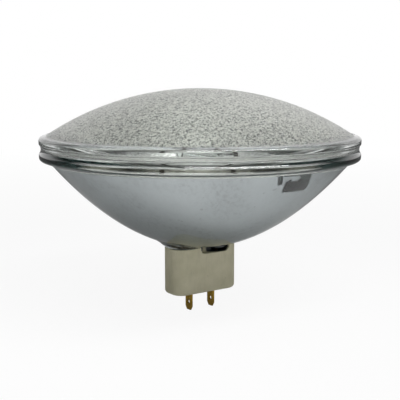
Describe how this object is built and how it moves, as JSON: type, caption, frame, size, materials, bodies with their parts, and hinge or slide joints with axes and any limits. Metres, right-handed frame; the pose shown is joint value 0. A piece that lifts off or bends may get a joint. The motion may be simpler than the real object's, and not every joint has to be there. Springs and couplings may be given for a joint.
{
  "type": "par spotlight bulb",
  "caption": "Sealed-beam reflector lamp with a stippled domed glass lens, a mirrored glass bowl and a ceramic base with flat contact blades.",
  "frame": {"origin": "centre of the rim, in the seam between lens and reflector", "axes": "+Z along the beam from the base to the lens; X along the base, through both contact blades"},
  "size_m": [0.2032, 0.2032, 0.1433],
  "materials": {
    "lens_glass": "clear pressed glass with a stippled dome",
    "bowl_glass": "clear pressed glass, smooth",
    "mirror_aluminium": "evaporated layer, bright inside and satin seen through the glass",
    "ferrule_metal": "dark oxidised nickel iron",
    "post_nickel": "drawn nickel rod",
    "burner_quartz": "clear fused quartz",
    "filament_tungsten": "grey drawn wire",
    "seal_molybdenum": "bright foil and wire",
    "base_ceramic": "matt unglazed steatite",
    "blade_brass": "stamped, slightly dull",
    "link_copper": "bare copper wire",
    "base_cement": "matt basing cement"
  },
  "bodies": {
    "root": {"front_lens": "lens_glass", "reflector_bowl": "bowl_glass", "mirror_coating": "mirror_aluminium", "burner_envelope": "burner_quartz", "filament": "filament_tungsten", "ceramic_base": "base_ceramic", "ferrule_left": "ferrule_metal", "ferrule_right": "ferrule_metal", "lead_post_left": "post_nickel", "lead_post_right": "post_nickel", "filament_lead_left": "filament_tungsten", "filament_lead_right": "filament_tungsten", "sealing_foil_left": "seal_molybdenum", "sealing_foil_right": "seal_molybdenum", "burner_pin_left": "seal_molybdenum", "burner_pin_right": "seal_molybdenum", "contact_blade_left": "blade_brass", "contact_blade_right": "blade_brass", "link_wire_left": "link_copper", "link_wire_right": "link_copper", "base_cement_left": "base_cement", "base_cement_right": "base_cement"}
  },
  "joints": []
}
